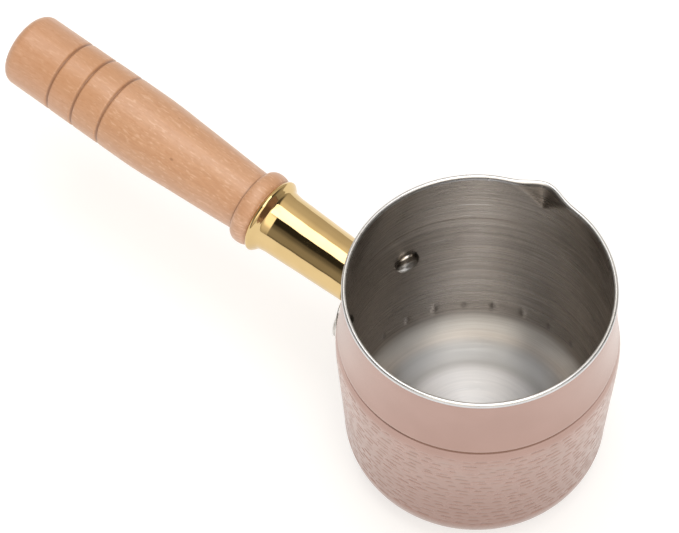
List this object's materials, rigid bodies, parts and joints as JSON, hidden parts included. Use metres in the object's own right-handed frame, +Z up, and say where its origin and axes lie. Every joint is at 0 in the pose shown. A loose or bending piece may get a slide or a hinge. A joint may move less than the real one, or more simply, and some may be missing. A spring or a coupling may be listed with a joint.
{
  "type": "turkish coffee pot",
  "caption": "Small round cezve with a pouring lip, copper-coloured hammered body, steel inside, brass ferrule and turned wooden side handle.",
  "frame": {"origin": "centre of the flat underside of the vessel's base, on the vessel's axis", "axes": "+Z up along the vessel's axis, handle along -X (rising 4.5 degrees outwards), pouring lip towards +Y"},
  "size_m": [0.2188, 0.0843, 0.083],
  "materials": {
    "copper_plated_steel": "stainless steel sheet, rose copper plated and satin polished outside, hammered below the crease, brushed bare steel inside and on the lip",
    "bracket_steel": "satin pressed steel",
    "rivet_steel": "polished domed heads",
    "polished_brass": "mirror polished",
    "beech": "turned, finely sanded, thin clear oil",
    "zinc_steel": "zinc plated",
    "insert_brass": "machined"
  },
  "bodies": {
    "root": {"vessel": "copper_plated_steel", "handle_bracket": "bracket_steel", "rivet_left": "rivet_steel", "rivet_right": "rivet_steel", "ferrule": "polished_brass", "wood_handle": "beech", "handle_screw": "zinc_steel", "lock_washer": "zinc_steel", "threaded_insert": "insert_brass"}
  },
  "joints": []
}
